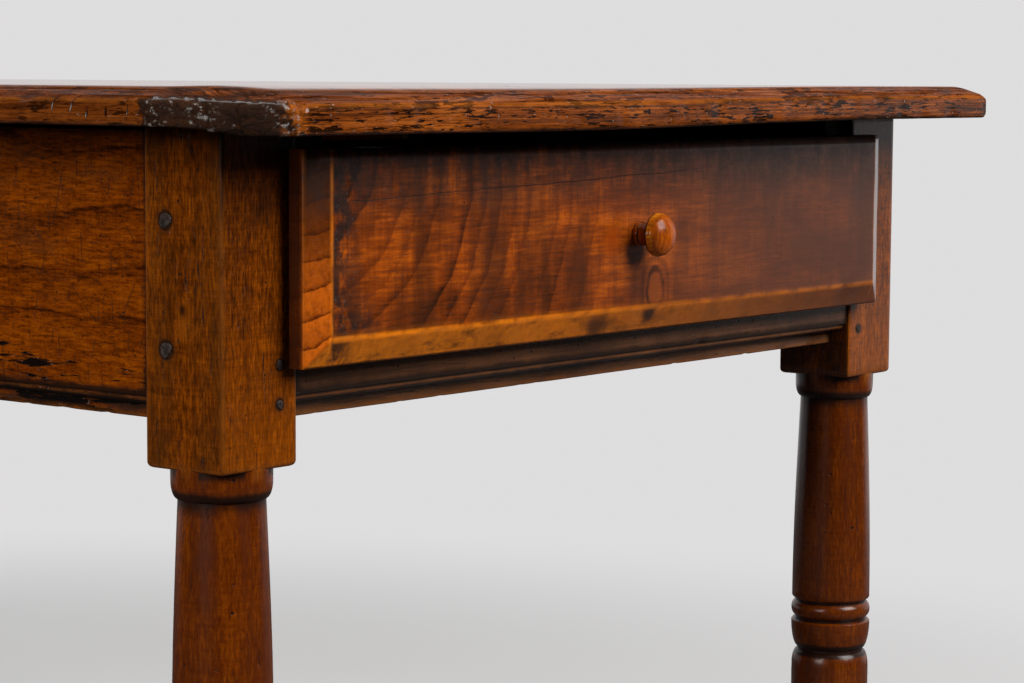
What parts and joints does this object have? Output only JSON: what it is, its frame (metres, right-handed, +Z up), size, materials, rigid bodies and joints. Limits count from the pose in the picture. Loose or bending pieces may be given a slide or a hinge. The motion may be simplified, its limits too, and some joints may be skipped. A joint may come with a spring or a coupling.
{
  "type": "farmhouse table",
  "caption": "Rustic wooden farmhouse table with clipped-corner bevelled top, turned column legs, moulded aprons, H stretcher and a lipped drawer in one end.",
  "frame": {"origin": "on the floor, under the middle of the tabletop", "axes": "+Z up; +Y along the table, away from the end with the drawer; +X to the right as one faces the drawer"},
  "size_m": [0.918, 1.8, 0.76],
  "materials": {
    "top_wood": "waxed, worn, semi-gloss",
    "leg_wood": "waxed, semi-gloss",
    "apron_wood": "waxed, scratched, satin",
    "rail_wood": "dark, waxed, satin",
    "front_wood": "waxed, semi-gloss",
    "inner_wood": "bare, dry",
    "peg_wood": "dark end grain",
    "knob_wood": "polished by use"
  },
  "bodies": {
    "frame": {"apron_left": "apron_wood", "apron_rear": "apron_wood", "apron_right": "apron_wood", "drawer_guide_left": "inner_wood", "drawer_guide_right": "inner_wood", "drawer_kicker_left": "inner_wood", "drawer_kicker_right": "inner_wood", "drawer_rail": "rail_wood", "drawer_runner_left": "inner_wood", "drawer_runner_right": "inner_wood", "leg_front_left": "leg_wood", "leg_front_right": "leg_wood", "leg_rear_left": "leg_wood", "leg_rear_right": "leg_wood", "peg_end_high_front_left": "peg_wood", "peg_end_high_front_right": "peg_wood", "peg_end_high_rear_left": "peg_wood", "peg_end_high_rear_right": "peg_wood", "peg_end_low_front_left": "peg_wood", "peg_end_low_front_right": "peg_wood", "peg_end_low_rear_left": "peg_wood", "peg_end_low_rear_right": "peg_wood", "peg_medial_front": "peg_wood", "peg_medial_rear": "peg_wood", "peg_side_high_front_left": "peg_wood", "peg_side_high_front_right": "peg_wood", "peg_side_high_rear_left": "peg_wood", "peg_side_high_rear_right": "peg_wood", "peg_side_low_front_left": "peg_wood", "peg_side_low_front_right": "peg_wood", "peg_side_low_rear_left": "peg_wood", "peg_side_low_rear_right": "peg_wood", "peg_stretcher_front_left": "peg_wood", "peg_stretcher_front_right": "peg_wood", "peg_stretcher_rear_left": "peg_wood", "peg_stretcher_rear_right": "peg_wood", "stretcher_front": "leg_wood", "stretcher_medial": "leg_wood", "stretcher_rear": "leg_wood", "top_batten_1": "inner_wood", "top_batten_2": "inner_wood", "top_batten_3": "inner_wood", "top_plank_1": "top_wood", "top_plank_2": "top_wood", "top_plank_3": "top_wood"},
    "drawer": {"drawer_back": "inner_wood", "drawer_bottom": "inner_wood", "drawer_front": "front_wood", "drawer_knob": "knob_wood", "drawer_side_left": "inner_wood", "drawer_side_right": "inner_wood"}
  },
  "joints": [
    {"name": "drawer_slide", "type": "slide", "parent": "frame", "child": "drawer", "axis": [0, -1, 0], "range_m": [-0.0038, 0.33]}
  ]
}
